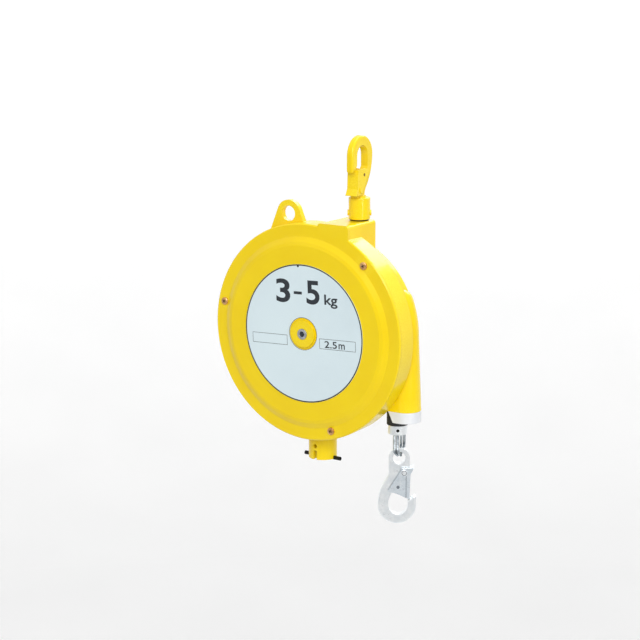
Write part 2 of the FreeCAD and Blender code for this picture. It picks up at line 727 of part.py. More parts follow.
def hook_blank(bill, shank, pivot_z, back_x, waist_z, front_x):
    """Hook outline in its own plane: bowl at the origin, shank towards +Z, mouth towards +X."""
    half = HOOK_T / 2
    bowl = cyl(BOWL_OUT_R, V(0, -half, 0), V(0, half, 0))
    bill_in = BOWL_SHIFT + BOWL_IN_R
    wide = BOWL_OUT_R
    body = bowl.fuse(hook_web(bill, shank, pivot_z, back_x, waist_z, front_x))
    inner = cyl(BOWL_IN_R, V(BOWL_SHIFT, -half - OVER, 0), V(BOWL_SHIFT, half + OVER, 0))
    slope = math.tan(math.radians(BILL_SLOPE_DEG))
    tip_z = bill + (wide - bill_in) * slope
    shank_in = PIVOT_SIDE - PIVOT_BOSS_R
    mouth = plate([(BOWL_SHIFT - BOWL_IN_R, 0), (bill_in, 0), (bill_in, bill),
                   (wide + OVER, tip_z + slope), (wide + OVER, pivot_z), (PIVOT_SIDE, pivot_z),
                   (shank_in, pivot_z - PIVOT_BOSS_R), (BOWL_SHIFT - BOWL_IN_R, bill)],
                  -half - OVER, half + OVER)
    body = body.cut(inner).cut(mouth).removeSplitter()
    tip = [e for e in body.Edges if e.BoundBox.XMin > wide - RUN and e.BoundBox.ZMin > tip_z - RUN]
    body = body.makeFillet(BILL_ROUND, tip)
    waist = [e for e in body.Edges if e.BoundBox.XMax < back_x + RUN and e.BoundBox.ZMin > waist_z - RUN
             and e.BoundBox.ZMax < waist_z + RUN]
    body = body.makeFillet(WAIST_ROUND, waist)
    rims = [e for e in body.Edges if e.BoundBox.YLength < RUN and e.BoundBox.XMax > back_x + RUN
            and e.BoundBox.XMin < -BOWL_OUT_R + RUN]
    body = body.makeFillet(HOOK_ROUND, rims)
    boss = cyl(PIVOT_BOSS_R, V(PIVOT_SIDE, -half, pivot_z), V(PIVOT_SIDE, half, pivot_z))
    return body.fuse(boss)


def pivot_cuts(body, pivot_z):
    """Rivet hole, pocket for the latch spring and room for the latch strip."""
    half = HOOK_T / 2 + OVER
    half_pocket = LATCH_WIRE_R * (LATCH_COILS + 2)
    side = PIVOT_SIDE + PIVOT_BOSS_R
    rivet = cyl(RIVET_R + RUN, V(PIVOT_SIDE, -half, pivot_z), V(PIVOT_SIDE, half, pivot_z))
    pocket = cyl(LATCH_POCKET_R, V(PIVOT_SIDE, -half_pocket, pivot_z), V(PIVOT_SIDE, half_pocket, pivot_z))
    room = box(side, BOWL_OUT_R, -half, half, pivot_z - PIVOT_BOSS_R, pivot_z + PIVOT_BOSS_R + GAP)
    return body.cut(rivet).cut(pocket).cut(room)


def latch_spring_blank(pivot_z):
    """Torsion coil round the rivet, in a pocket inside the hook."""
    pitch = LATCH_WIRE_R * 2 + RUN
    spring = coil(LATCH_COIL_R, LATCH_WIRE_R, pitch, LATCH_COILS, 0, COIL_STEPS - COIL_SIDES)
    spring.translate(V(PIVOT_SIDE, -pitch * LATCH_COILS / 2, pivot_z))
    return spring


def latch_blank(bill, pivot_z):
    """Folded sheet latch: two cheeks over the hook and a strip across the mouth."""
    half = HOOK_T / 2 + LATCH_SIDE
    strip_x = PIVOT_SIDE + PIVOT_BOSS_R + LATCH_PLAY
    foot_x = strip_x - LATCH_LEAN
    foot = bill + LATCH_REST
    top = pivot_z + PIVOT_BOSS_R
    hem_x = strip_x - LATCH_W
    outline = [(strip_x + LATCH_T + LATCH_TAB, top), (strip_x + LATCH_T, top - LATCH_TAB * 2),
               (foot_x + LATCH_T, foot), (foot_x, foot),
               (hem_x + LATCH_HEM_RUN, LATCH_HEM_Z - LATCH_HEM_FALL),
               (hem_x, LATCH_HEM_Z), (PIVOT_SIDE - PIVOT_BOSS_R, pivot_z),
               (PIVOT_SIDE - PIVOT_BOSS_R / 2, top)]
    solid = plate(outline, -half - LATCH_T, half + LATCH_T)
    room = plate([(-COVER_R, foot - OVER), (foot_x, foot - OVER), (foot_x, foot), (strip_x, top),
                  (strip_x, top + OVER), (-COVER_R, top + OVER)], -half, half)
    latch = solid.cut(room)
    hole = cyl(RIVET_R + RUN, V(PIVOT_SIDE, -half * 2, pivot_z), V(PIVOT_SIDE, half * 2, pivot_z))
    return latch.cut(hole)


def rivet_blank(pivot_z):
    half = HOOK_T / 2 + LATCH_SIDE + LATCH_T + RUN
    pin = cyl(RIVET_R, V(PIVOT_SIDE, -half, pivot_z), V(PIVOT_SIDE, half, pivot_z))
    for side in (-1, 1):
        seat = V(PIVOT_SIDE, side * half, pivot_z)
        pin = pin.fuse(cyl(RIVET_HEAD_R, seat, seat + Y * side * RIVET_HEAD_H))
    return pin


def place_lower(shape):
    centre = V(CABLE_X, CABLE_Y, EYE_Z)
    moved = shape.copy()
    moved.translate(centre - Z * EYE_TO_BOWL)
    return turned(moved, centre, LOWER_HOOK_TURN)


def lower_hook():
    body = hook_blank(LOWER_BILL, EYE_TO_BOWL, LOWER_PIVOT_Z,
                      EYE_SIDE - EYE_R, LOWER_WAIST_Z, EYE_SIDE + EYE_R)
    half = HOOK_T / 2
    eye = cyl(EYE_R, V(EYE_SIDE, -half, EYE_TO_BOWL), V(EYE_SIDE, half, EYE_TO_BOWL))
    hole = cyl(EYE_HOLE_R, V(EYE_SIDE, -half - OVER, EYE_TO_BOWL), V(EYE_SIDE, half + OVER, EYE_TO_BOWL))
    body = body.fuse(eye).cut(hole).removeSplitter()
    return place_lower(pivot_cuts(body, LOWER_PIVOT_Z))


def lower_latch():
    return place_lower(latch_blank(LOWER_BILL, LOWER_PIVOT_Z))


def lower_rivet():
    return place_lower(rivet_blank(LOWER_PIVOT_Z))


def lower_latch_spring():
    return place_lower(latch_spring_blank(LOWER_PIVOT_Z))


def place_upper(shape):
    """Turn the hook over, mouth to the front, above the swivel collar."""
    moved = turned(shape, V(0, 0, 0), 180, Y)
    moved = turned(moved, V(0, 0, 0), 90 + UPPER_HOOK_TURN)
    moved.translate(V(HOOK_X, HOOK_Y, COLLAR_TOP + UPPER_STEM_TO_BOWL))
    return moved


def upper_hook():
    body = hook_blank(UPPER_BILL, UPPER_STEM_TO_BOWL, UPPER_PIVOT_Z,
                      -UPPER_SHOULDER, UPPER_WAIST_Z, EYE_R)
    low = UPPER_STEM_TO_BOWL + COLLAR_TOP - (POCKET_CEILING - THRUST_T - NUT_H)
    stem = cyl(STEM_R, V(0, 0, UPPER_PIVOT_Z + PIVOT_BOSS_R + GAP * 3), V(0, 0, low))
    body = body.fuse(stem).removeSplitter()
    return place_upper(pivot_cuts(body, UPPER_PIVOT_Z)).cut(collar_pin_hole())


def upper_latch():
    return place_upper(latch_blank(UPPER_BILL, UPPER_PIVOT_Z))


def upper_rivet():
    return place_upper(rivet_blank(UPPER_PIVOT_Z))


def upper_latch_spring():
    return place_upper(latch_spring_blank(UPPER_PIVOT_Z))


def stem_part(z0, z1, radius):
    return cyl(radius, V(HOOK_X, HOOK_Y, z0), V(HOOK_X, HOOK_Y, z1))


def collar_pin_hole():
    level = SWIVEL_Z + COLLAR_PIN_UP
    centre = V(HOOK_X, HOOK_Y, level)
    bar = cyl(COLLAR_PIN_R, centre - X * COLLAR_R * 2, centre + X * COLLAR_R * 2)
    return turned(bar, centre, COLLAR_PIN_TURN)


def collar_pin():
    level = SWIVEL_Z + COLLAR_PIN_UP
    centre = V(HOOK_X, HOOK_Y, level)
    bar = cyl(COLLAR_PIN_R, centre - X * COLLAR_R, centre + X * COLLAR_R)
    for side in (-1, 1):
        seat = centre + X * side * COLLAR_R
        inner = seat - X * side * COLLAR_PIN_HEAD_H / 2
        bar = bar.fuse(cyl(COLLAR_PIN_HEAD_R, inner, inner + X * side * COLLAR_PIN_HEAD_H * 3 / 2))
    return turned(bar, centre, COLLAR_PIN_TURN)


def swivel_collar():
    body = stem_part(SWIVEL_Z, COLLAR_TOP, COLLAR_R)
    body = body.makeChamfer(STOP_BEVEL, [e for e in body.Edges if e.BoundBox.ZLength < RUN])
    return body.cut(stem_part(SWIVEL_Z - OVER, COLLAR_TOP + OVER, STEM_R)).cut(collar_pin())


def thrust_washer():
    top = BLOCK_TOP + COLLAR_GAP
    ring = stem_part(BLOCK_TOP + GAP, top, COLLAR_R - COLLAR_GAP)
    return ring.cut(stem_part(BLOCK_TOP, top + OVER, STEM_R))


def swivel_nut():
    top = POCKET_CEILING - THRUST_T
    corners = [polar(NUT_R, 360 / HEX * i) for i in range(HEX)]
    points = [V(HOOK_X + x, HOOK_Y + y, top - NUT_H) for x, y in corners]
    body = Part.Face(Part.makePolygon(points + points[:1])).extrude(Z * NUT_H)
    return body.cut(stem_part(top - NUT_H - OVER, top + OVER, STEM_R))


def nut_washer():
    ceiling = POCKET_CEILING
    ring = stem_part(ceiling - THRUST_T, ceiling - GAP, NUT_R)
    return ring.cut(stem_part(ceiling - THRUST_T - OVER, ceiling, STEM_R))


def band_radius(depth):
    """Radius of the drum surface under the cable at a depth."""
    return BAND_R + (depth - CABLE_Y) * BAND_GROWTH / CABLE_PITCH


def coil(radius, wire_r, pitch, turns, growth=0, steps=COIL_STEPS):
    """Wire wound about +Y from y = 0, in short facets, with its first end on +X."""
    rings = []
    for i in range(int(turns * steps) + 1):
        turn = i / steps
        ring = []
        for side in range(COIL_SIDES):
            out, along = polar(wire_r, 360 * side / COIL_SIDES)
            x, z = polar(radius + growth * turn + out, 360 * turn)
            ring.append(V(x, pitch * turn + along, z))
        rings.append(ring)
    return skin(rings)


def wound_cable():
    """Cable laid on the drum's spiral from the point where it leaves."""
    wound = coil(CABLE_X, CABLE_R, CABLE_PITCH, CABLE_TURNS, BAND_GROWTH, CABLE_STEPS)
    wound.translate(Y * CABLE_Y)
    return wound


def anchor_stub(low, high):
    """Radial stud beside the wound cable's inner end."""
    depth = CABLE_Y + CABLE_PITCH * CABLE_TURNS
    base = band_radius(depth)
    step = math.degrees((ANCHOR_R + CABLE_R + GAP) / base)
    direction = V(1, 0, 0)
    stud = cyl(ANCHOR_R, direction * (base - low) + Y * depth, direction * (base + high) + Y * depth)
    return turned(stud, V(0, 0, 0), -(360 * CABLE_TURNS + step), Y)


def cable_anchor():
    return anchor_stub(ANCHOR_DEPTH, CABLE_R)


def cable_drum():
    """Drum: spring chamber in front, lock notches behind it, spiral band at the back."""
    chamber = DRUM_R - DRUM_WALL
    rim_r = band_radius(BAND_BACK) + CABLE_R + REAR_FLANGE_LIP
    profile = [
        (SHAFT_R + RUN + BUSH_WALL, SPRING_BACK),
        (chamber, SPRING_BACK),
        (chamber, DRUM_COVER_BACK),
        (DRUM_R, DRUM_COVER_BACK),
        (DRUM_R, SPRING_BAY_BACK - WALL / 2),
        (band_radius(BAND_FRONT) + CABLE_R, SPRING_BAY_BACK - WALL / 2),
        (band_radius(BAND_FRONT) + CABLE_R, BAND_FRONT),
        (band_radius(BAND_FRONT), BAND_FRONT),
        (band_radius(BAND_BACK), BAND_BACK),
        (rim_r, BAND_BACK),
        (rim_r, REAR_FLANGE_BACK),
        (band_radius(BAND_BACK) - DRUM_WALL * 2, REAR_FLANGE_BACK),
        (band_radius(BAND_FRONT) - DRUM_WALL * 2, SPRING_BACK + WEB_T),
        (HUB_OUT_R, SPRING_BACK + WEB_T),
        (HUB_OUT_R, REAR_BUSH_FRONT - CIRCLIP_W),
        (SHAFT_R + RUN + BUSH_WALL, REAR_BUSH_FRONT - CIRCLIP_W),
    ]
    drum = lathe(profile)
    back = SPRING_BAY_BACK - WALL / 2
    for i in range(LOCK_NOTCHES):
        notch = box(-LOCK_NOTCH_W / 2, LOCK_NOTCH_W / 2, SPRING_BACK + GAP, back + OVER,
                    -DRUM_R - OVER, LOCK_NOTCH_D - DRUM_R)
        drum = drum.cut(turned(notch, V(0, 0, 0), 360 / LOCK_NOTCHES * i, Y))
    for x, z in cover_screw_spots():
        drum = drum.cut(cyl(SMALL_SCREW_R, V(x, DRUM_FRONT, z), V(x, DRUM_FRONT + SMALL_SCREW_LEN, z)))
    return drum.cut(anchor_stub(ANCHOR_DEPTH, ANCHOR_DEPTH))


def cover_screw_spots():
    """Screws round the drum cover stand in the chamber wall."""
    radius = DRUM_R - DRUM_WALL / 2
    return [polar(radius, 360 / SMALL_SCREW_COUNT * (i + 0.5)) for i in range(SMALL_SCREW_COUNT)]


def drum_cover():
    disc = cyl(DRUM_R, V(0, DRUM_FRONT, 0), V(0, DRUM_COVER_BACK, 0))
    hub = cyl(HUB_OUT_R, V(0, DRUM_FRONT, 0), V(0, DRUM_COVER_BACK + WEB_T, 0))
    bore = cyl(SHAFT_R + RUN + BUSH_WALL, V(0, DRUM_FRONT - OVER, 0),
               V(0, DRUM_COVER_BACK + WEB_T + OVER, 0))
    cover = disc.fuse(hub).cut(bore)
    for x, z in cover_screw_spots():
        cover = cover.cut(cyl(SMALL_SCREW_R, V(x, DRUM_FRONT - OVER, z), V(x, DRUM_COVER_BACK + OVER, z)))
    return cover.removeSplitter()


def drum_cover_screws():
    shapes = []
    for x, z in cover_screw_spots():
        base = V(x, DRUM_FRONT, z)
        shapes.append(pan_screw(base, SMALL_SCREW_R, SMALL_HEAD_R, SMALL_HEAD_H, SMALL_SCREW_LEN))
    return Part.makeCompound(shapes)


def drum_bushes():
    outer, inner = SHAFT_R + RUN + BUSH_WALL, SHAFT_R + RUN
    front = tube(outer, inner, V(0, DRUM_FRONT, 0), V(0, DRUM_COVER_BACK + WEB_T, 0))
    rear = tube(outer, inner, V(0, SPRING_BACK, 0), V(0, REAR_BUSH_FRONT - CIRCLIP_W, 0))
    return Part.makeCompound([front, rear])


def main_spring():
    """Flat spiral spring between the arbor and the chamber wall."""
    r_in = ARBOR_R + GAP
    r_out = DRUM_R - DRUM_WALL - SPRING_T - GAP
    steps = SPRING_TURNS * SPRING_STEPS
    inner, outer = [], []
    for i in range(steps + 1):
        radius = r_in + (r_out - r_in) * i / steps
        x, z = polar(radius, 360 * i / SPRING_STEPS)
        inner.append((x, z))
        x, z = polar(radius + SPRING_T, 360 * i / SPRING_STEPS)
        outer.append((x, z))
    front = DRUM_COVER_BACK + WEB_T + SPRING_SIDE
    return plate(inner + outer[::-1], front, SPRING_BACK - SPRING_SIDE)


def main_shaft():
    """Adjusting shaft: hex socket in front, journals in the cover and the case."""
    front = cyl(SHAFT_FRONT_R, V(0, SHAFT_FRONT, 0), V(0, RATCHET_FRONT, 0))
    middle = cyl(SHAFT_R, V(0, RATCHET_FRONT, 0), V(0, REAR_BUSH_FRONT - GAP, 0))
    rear = cyl(SHAFT_REAR_R, V(0, REAR_BUSH_FRONT - GAP, 0), V(0, BACK_Y - BUSH_WALL - GAP, 0))
    corners = [polar(HEX_AF / math.sqrt(3), 360 / HEX * i) for i in range(HEX)]
    socket = plate(corners, SHAFT_FRONT - OVER, SHAFT_FRONT + HEX_DEPTH)
    return joined([front, middle, rear]).cut(socket)


def spring_arbor():
    y0, y1 = DRUM_COVER_BACK + WEB_T + GAP, SPRING_BACK - GAP
    return tube(ARBOR_R, SHAFT_R, V(0, y0, 0), V(0, y1, 0))


def front_bush():
    outer, inner = SHAFT_FRONT_R + RUN + BUSH_WALL, SHAFT_FRONT_R + RUN
    return tube(outer, inner, V(0, PLATEAU_Y, 0), V(0, RATCHET_FRONT - GAP, 0))


def rear_bush():
    outer, inner = SHAFT_REAR_R + RUN + BUSH_WALL, SHAFT_REAR_R + RUN
    return tube(outer, inner, V(0, REAR_BUSH_FRONT, 0), V(0, BACK_Y - BUSH_WALL, 0))


def shaft_circlip():
    back = REAR_BUSH_FRONT - GAP
    ring = tube(SHAFT_R + CIRCLIP_W, SHAFT_R, V(0, back - CIRCLIP_T, 0), V(0, back, 0))
    return ring.cut(box(-CIRCLIP_W / 2, CIRCLIP_W / 2, back - CIRCLIP_T - OVER, back + OVER, 0, COVER_R))


def ratchet_wheel():
    corners = []
    pitch = 360 / RATCHET_TEETH
    for i in range(RATCHET_TEETH):
        corners.append(polar(RATCHET_R, pitch * i))
        corners.append(polar(RATCHET_ROOT, pitch * i))
    wheel = plate(corners[::-1], RATCHET_FRONT + GAP, RATCHET_BACK)
    return wheel.cut(cyl(SHAFT_R, V(0, 0, 0), V(0, RATCHET_BACK + OVER, 0)))


def ratchet_pawl():
    """Lever from its pin, round the outside of the wheel, to the face of one tooth."""
    x, z = polar(PAWL_DIST, PAWL_DEG)
    y0 = RATCHET_FRONT + GAP
    y1 = y0 + PAWL_T
    pitch = 360 / RATCHET_TEETH
    tooth = pitch * round((PAWL_DEG - PAWL_LEAD) / pitch) + GAP * 2
    arm = plate([polar(RATCHET_ROOT + GAP, tooth), polar(RATCHET_R + GAP, tooth),
                 polar(PAWL_NECK_R, PAWL_NECK_DEG), (x - PAWL_ARM_OUT, z), (x + PAWL_ARM_IN, z),
                 polar(RATCHET_R + GAP * 2, PAWL_THROAT_DEG)], y0, y1)
    hub = cyl(PAWL_HUB_R, V(x, y0, z), V(x, y1, z))
    pawl = joined([hub, arm])
    return pawl.cut(cyl(PAWL_PIN_R + RUN, V(x, y0 - OVER, z), V(x, y1 + OVER, z)))


def pawl_pin():
    x, z = polar(PAWL_DIST, PAWL_DEG)
    end = DRUM_FRONT - GAP * 2
    pin = cyl(PAWL_PIN_R, V(x, COVER_INNER, z), V(x, end, z))
    return pin.fuse(cyl(PAWL_HUB_R - GAP, V(x, end - GAP * 2, z), V(x, end, z)))


def pawl_spring():
    """Torsion coil round the pawl's pin, behind the pawl."""
    x, z = polar(PAWL_DIST, PAWL_DEG)
    spring = coil(PAWL_PIN_R + GAP + PAWL_WIRE_R, PAWL_WIRE_R, PAWL_WIRE_R * 2 + RUN, PAWL_COILS)
    front = RATCHET_FRONT + GAP * 2 + PAWL_T
    spring.translate(V(x, front + PAWL_WIRE_R, z))
    return spring


def lock_plunger():
    """Knob below, stem through the ledge, spring head and locking tip above."""
    tip_z = -DRUM_R - LOCK_TIP_GAP
    head_z = tip_z - LOCK_TIP_H
    knob = lock_part(LOCK_PLUNGER_R, LOCK_BOTTOM - LOCK_TAIL, LOCK_KNOB_TOP)
    stem = lock_part(LOCK_TIP_R, LOCK_KNOB_TOP, tip_z)
    head = lock_part(LOCK_HEAD_R, head_z - LOCK_HEAD_H, head_z)
    return joined([knob, stem, head]).cut(pin_bar(LOCK_PIN_R))


def lock_spring():
    """Coil between the ledge and the plunger's head."""
    top = -DRUM_R - LOCK_TIP_GAP - LOCK_TIP_H - LOCK_HEAD_H
    length = top - LOCK_LEDGE_Z - LOCK_WIRE_R * 2
    radius = (LOCK_TIP_R + LOCK_HEAD_R) / 2 + LOCK_WIRE_R / 2
    spring = coil(radius, LOCK_WIRE_R, length / LOCK_COILS, LOCK_COILS)
    spring.rotate(V(0, 0, 0), X, 90)
    spring.translate(V(0, LOCK_Y, LOCK_LEDGE_Z + LOCK_WIRE_R))
    return spring


def pin_bar(radius):
    centre = V(0, LOCK_Y, LOCK_PIN_Z)
    return cyl(radius, centre - X * LOCK_PIN_HALF, centre + X * LOCK_PIN_HALF)


def lock_pin():
    """Hollow cross pin through the knob."""
    return pin_bar(LOCK_PIN_R).cut(pin_bar(LOCK_PIN_BORE_R))


PIECES = {
    "rear_case": rear_case,
    "front_cover": front_cover,
    "face_plate": face_plate,
    "cover_screws": cover_screws,
    "cable_nozzle": cable_nozzle,
    "cable_run": cable_run,
    "rubber_buffer": rubber_buffer,
    "stop_collar": stop_collar,
    "collar_screw": collar_screw,
    "cable_ferrule": cable_ferrule,
    "cable_loop": cable_loop,
    "lower_hook": lower_hook,
    "lower_latch": lower_latch,
    "lower_rivet": lower_rivet,
    "lower_latch_spring": lower_latch_spring,
    "upper_hook": upper_hook,
    "upper_latch": upper_latch,
    "upper_rivet": upper_rivet,
    "upper_latch_spring": upper_latch_spring,
    "swivel_collar": swivel_collar,
    "collar_pin": collar_pin,
    "thrust_washer": thrust_washer,
    "swivel_nut": swivel_nut,
    "nut_washer": nut_washer,
    "cable_drum": cable_drum,
    "drum_cover": drum_cover,
    "drum_cover_screws": drum_cover_screws,
    "drum_bushes": drum_bushes,
    "wound_cable": wound_cable,
    "cable_anchor": cable_anchor,
    "main_spring": main_spring,
    "main_shaft": main_shaft,
    "spring_arbor": spring_arbor,
    "front_bush": front_bush,
    "rear_bush": rear_bush,
    "shaft_circlip": shaft_circlip,
    "ratchet_wheel": ratchet_wheel,
    "ratchet_pawl": ratchet_pawl,
    "pawl_pin": pawl_pin,
    "pawl_spring": pawl_spring,
    "lock_plunger": lock_plunger,
    "lock_spring": lock_spring,
    "lock_pin": lock_pin,
}


def export():
    os.makedirs("parts", exist_ok=True)
    shift = V(-HOOK_X, -HOOK_Y, -SADDLE_Z)
    for name, make in PIECES.items():
        shape = make()
        shape.translate(shift)
        shape.exportStep("parts/" + name + ".step")


export()
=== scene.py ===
import bpy
import bmesh
import json
import math
from mathutils import Matrix, Vector


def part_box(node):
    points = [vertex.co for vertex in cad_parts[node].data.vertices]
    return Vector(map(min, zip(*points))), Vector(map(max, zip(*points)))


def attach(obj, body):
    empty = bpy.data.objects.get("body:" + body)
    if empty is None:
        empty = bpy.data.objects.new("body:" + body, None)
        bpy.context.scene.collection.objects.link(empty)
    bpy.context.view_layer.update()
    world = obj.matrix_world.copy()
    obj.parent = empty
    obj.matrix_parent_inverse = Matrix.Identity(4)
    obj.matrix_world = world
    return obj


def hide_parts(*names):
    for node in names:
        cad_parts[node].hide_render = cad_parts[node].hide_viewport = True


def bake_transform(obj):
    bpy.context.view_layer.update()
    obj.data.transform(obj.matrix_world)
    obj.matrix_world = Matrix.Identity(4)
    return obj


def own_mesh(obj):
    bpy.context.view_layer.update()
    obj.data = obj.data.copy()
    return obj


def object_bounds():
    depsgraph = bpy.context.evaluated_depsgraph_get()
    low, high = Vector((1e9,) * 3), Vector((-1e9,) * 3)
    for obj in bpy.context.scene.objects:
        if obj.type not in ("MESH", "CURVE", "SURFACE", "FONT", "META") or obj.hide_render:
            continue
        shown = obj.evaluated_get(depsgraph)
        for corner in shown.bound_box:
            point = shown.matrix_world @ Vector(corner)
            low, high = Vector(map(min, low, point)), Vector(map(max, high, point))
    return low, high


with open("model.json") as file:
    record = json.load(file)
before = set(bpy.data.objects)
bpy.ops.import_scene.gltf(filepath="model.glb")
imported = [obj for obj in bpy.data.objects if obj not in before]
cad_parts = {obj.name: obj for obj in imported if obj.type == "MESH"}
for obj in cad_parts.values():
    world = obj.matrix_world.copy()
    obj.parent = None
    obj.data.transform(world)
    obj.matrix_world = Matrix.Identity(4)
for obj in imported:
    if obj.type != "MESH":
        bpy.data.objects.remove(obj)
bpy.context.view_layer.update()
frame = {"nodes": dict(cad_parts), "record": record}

MM = 0.001

# Camera: turned round the object and raised above it, looking at a point left of the cable
VIEW_AZIMUTH = 33.59
VIEW_ELEVATION = 12.22
VIEW_DISTANCE = 1.62
VIEW_TARGET = Vector((-0.0186, -0.0360, -0.1555))
LENS = 101.35
SENSOR = 36.0
CLIP_END = 100

# Painted shade in the cross recess of the cover screws: dark bars in millimetres, with half their
# length and half their width, and their turn in degrees
SCREW_CROSS = 1.7
SCREW_SLOT = 0.42
SCREW_DEEP = 0.3
SCREW_PROUD = 0.02
SCREW_FRONT = 0.05
SCREW_TURN = 25.0

# Hexagon socket in the shaft's end in millimetres, and the share of its width that the painted
# shade disc near its bottom fills
SOCKET_SEEK = 0.3
SOCKET_DEPTH = 0.9
SOCKET_THICK = 0.2
SOCKET_FILL = 0.92

# Painted shade marks on the latches (dimple, rivet groove and fold), in millimetres from the pivot
CHEEK_FACE = 5.6
DIMPLE_X = -5.5
DIMPLE_Y = -13.6
DIMPLE_R = 1.5
DIMPLE_THICK = 0.3
MARK_THICK = 0.2
RIVET_RIM = 0.3
RIVET_LINE = 0.5
RIVET_STEPS = 48
FOLD_X = 1.8
FOLD_TOP = -3.0
FOLD_FOOT = -23.4
FOLD_WIDTH = 0.5

# Spring of the lock plunger: radius of its wire in millimetres, and how finely it is drawn
SPRING_WIRE = 0.5
SPRING_TURNS = 4
SPRING_STEPS = 24
SPRING_SIDES = 10

# Lay of the wire cable, with lengths in millimetres and the dip between strands as a share of its
# radius
STRANDS = 7
STRAND_POINTS = 4
STRAND_DIP = 0.22
CABLE_LAY = 14.0
CABLE_STEP = 0.8

# Edges below this angle are shaded smooth on round pieces
SMOOTH_ANGLE = 60

# Studio floor in metres: flat to one radius, then curving up to a low wall at another
FLOOR_GAP = 0.05
FLOOR_FLAT = 7.0
FLOOR_WALL = 14.0
FLOOR_TOP = 3.0
FLOOR_RINGS = 24
FLOOR_SIDES = 96
FLOOR_NOISE = 2
FLOOR_GLOW = 0.14

# Light: even surroundings, a key from the right, a card high behind, a box overhead, and an upright
# strip that shows as a highlight down the round pieces
WORLD_LEVEL = 0.5
OBJECT_MIDDLE = (0.0, 0.0, -0.17)
KEY_POWER = 1.5
KEY_SPREAD = 35
KEY_DIRECTION = (-0.45, 0.7, -0.55)
OVERHEAD_POWER = 5.0
OVERHEAD_SIZE = (0.9, 0.7)
OVERHEAD_PLACE = (0.15, 0.15, 0.95)
OVERHEAD_AIM = (0.0, 0.0, -0.1)
CARD_POWER = 9.0
CARD_WIDTH = 1.1
CARD_HEIGHT = 0.5
CARD_PLACE = (-0.12, 1.3, 0.75)
STRIP_AZIMUTH = 68.0
STRIP_AWAY = 1.5
STRIP_LEVEL = 0.1
STRIP_WIDTH = 0.09
STRIP_HEIGHT = 1.0
STRIP_POWER = 4.2

# Finish of the enamel
ENAMEL_GLOSS = 0.26
ENAMEL_COAT = 0.25

# Scales of each finish's noise, for its colour, its roughness and its relief
ENAMEL_NOISE = (26, 140, 420)
METAL_NOISE = (160, 380, 900)
PLASTIC_NOISE = (90, 300, 1500)
WEAR_NOISE = 900

# Noise values that ramps start and end at: the usual spread, and a narrower one for mottled colour
NOISE_LOW = 0.3
NOISE_HIGH = 0.7
MOTTLE_LOW = 0.35
MOTTLE_HIGH = 0.65

# Face plate and what is printed on it, in millimetres from the plate's centre
PLATE_TURN = 2.5
RING_WIDTH = 1.15
INK_PROUD = 0.05
INK_THICK = 0.04
DIGIT_BASE = 27.7
DIGIT_HEIGHT = 21.8
DIGIT_WEIGHT = 0.022
DIGIT_LOW_SPAN = (-27.8, -12.4)
DIGIT_HIGH_SPAN = (5.2, 19.4)
DASH_SPAN = (-8.4, 0.4)
DASH_LOW = 8.4
DASH_HIGH = 11.0
UNIT_SPAN = (24.4, 38.4)
UNIT_HEIGHT = 12.3
UNIT_DROP = 2.2
UNIT_WEIGHT = 0.018
TRAVEL_SPAN = (23.0, 36.2)
TRAVEL_UNIT_SPAN = (38.0, 44.6)
TRAVEL_BASE = -11.0
TRAVEL_TOP = -4.6
TRAVEL_UNIT_TOP = -6.3
TRAVEL_WEIGHT = 0.012
RING_STEPS = 96
LINE_GAP = 0.05
HOLE_LINE = 0.42
NOTCH_X = -2.8
NOTCH_INSET = 1.7
NOTCH_R = 1.1
BOX_CENTRE_X = 36.8
BOX_CENTRE_Z = -7.3
BOX_STEP = 0.3
BOX_WIDTH = 38.6
BOX_HEIGHT = 9.4
BOX_LINE = 0.35


def srgb(red, green, blue):
    """Linear colour from 0-255 screen values."""
    out = []
    for value in (red, green, blue):
        share = value / 255
        out.append(share / 12.92 if share <= 0.04045 else ((share + 0.055) / 1.055) ** 2.4)
    return (*out, 1.0)


def find_joint(name):
    """A joint of the record, by its name."""
    return next(joint for joint in frame["record"]["behaviour"]["joints"] if joint["name"] == name)


# ---------------------------------------------------------------- materials

